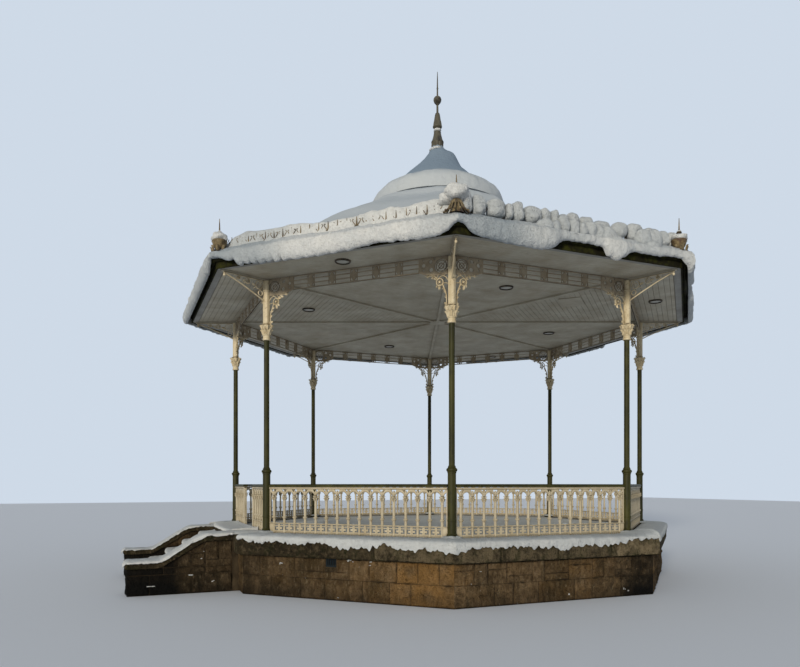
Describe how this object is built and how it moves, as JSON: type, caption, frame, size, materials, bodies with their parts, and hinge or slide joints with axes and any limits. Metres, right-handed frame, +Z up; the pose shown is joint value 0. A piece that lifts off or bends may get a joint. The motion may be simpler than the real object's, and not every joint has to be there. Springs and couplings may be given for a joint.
{
  "type": "bandstand",
  "caption": "Octagonal open bandstand: stone plinth with steps, slender iron columns, cast balustrade, scrolled brackets, boarded soffit and two-tier roof with a finial.",
  "frame": {"origin": "centre of the octagon at ground level, on the plane of the plinth's underside", "axes": "+Z up; -Y towards the steps, which stand before side 1; +X to the right of someone who faces the steps"},
  "size_m": [10.299, 11.645, 11.075],
  "materials": {
    "plinth_stone": "rock-faced coursed sandstone",
    "coping_stone": "tooled sandstone",
    "paving": "smooth paving",
    "green_iron": "dark green gloss paint",
    "cream_iron": "cream gloss paint",
    "cream_boards": "painted boards",
    "lamp_glass": "opal",
    "roof_metal": "weathered sheet",
    "dark_iron": "weathered"
  },
  "bodies": {
    "root": {"plinth_wall": "plinth_stone", "wing_wall_left": "plinth_stone", "wing_wall_right": "plinth_stone", "plinth_coping": "coping_stone", "wing_coping_left": "coping_stone", "wing_coping_right": "coping_stone", "step_1": "coping_stone", "step_2": "coping_stone", "step_3": "coping_stone", "step_4": "coping_stone", "step_5": "coping_stone", "floor": "paving", "vent_grille": "dark_iron", "column_1": "green_iron", "column_head_1": "cream_iron", "column_2": "green_iron", "column_head_2": "cream_iron", "column_3": "green_iron", "column_head_3": "cream_iron", "column_4": "green_iron", "column_head_4": "cream_iron", "column_5": "green_iron", "column_head_5": "cream_iron", "column_6": "green_iron", "column_head_6": "cream_iron", "column_7": "green_iron", "column_head_7": "cream_iron", "column_8": "green_iron", "column_head_8": "cream_iron", "balustrade_2": "cream_iron", "balustrade_3": "cream_iron", "balustrade_4": "cream_iron", "balustrade_5": "cream_iron", "balustrade_6": "cream_iron", "balustrade_7": "cream_iron", "balustrade_8": "cream_iron", "balustrade_1_left": "cream_iron", "balustrade_1_right": "cream_iron", "handrails": "green_iron", "friezes": "cream_iron", "ceiling": "cream_boards", "ceiling_ribs": "cream_boards", "ceiling_hatch": "cream_boards", "lights": "lamp_glass", "lower_roof": "roof_metal", "upper_roof": "roof_metal", "fascia": "green_iron", "gutter": "green_iron", "cresting": "cream_iron", "corner_ornaments": "cream_iron", "finial": "dark_iron"}
  },
  "joints": []
}
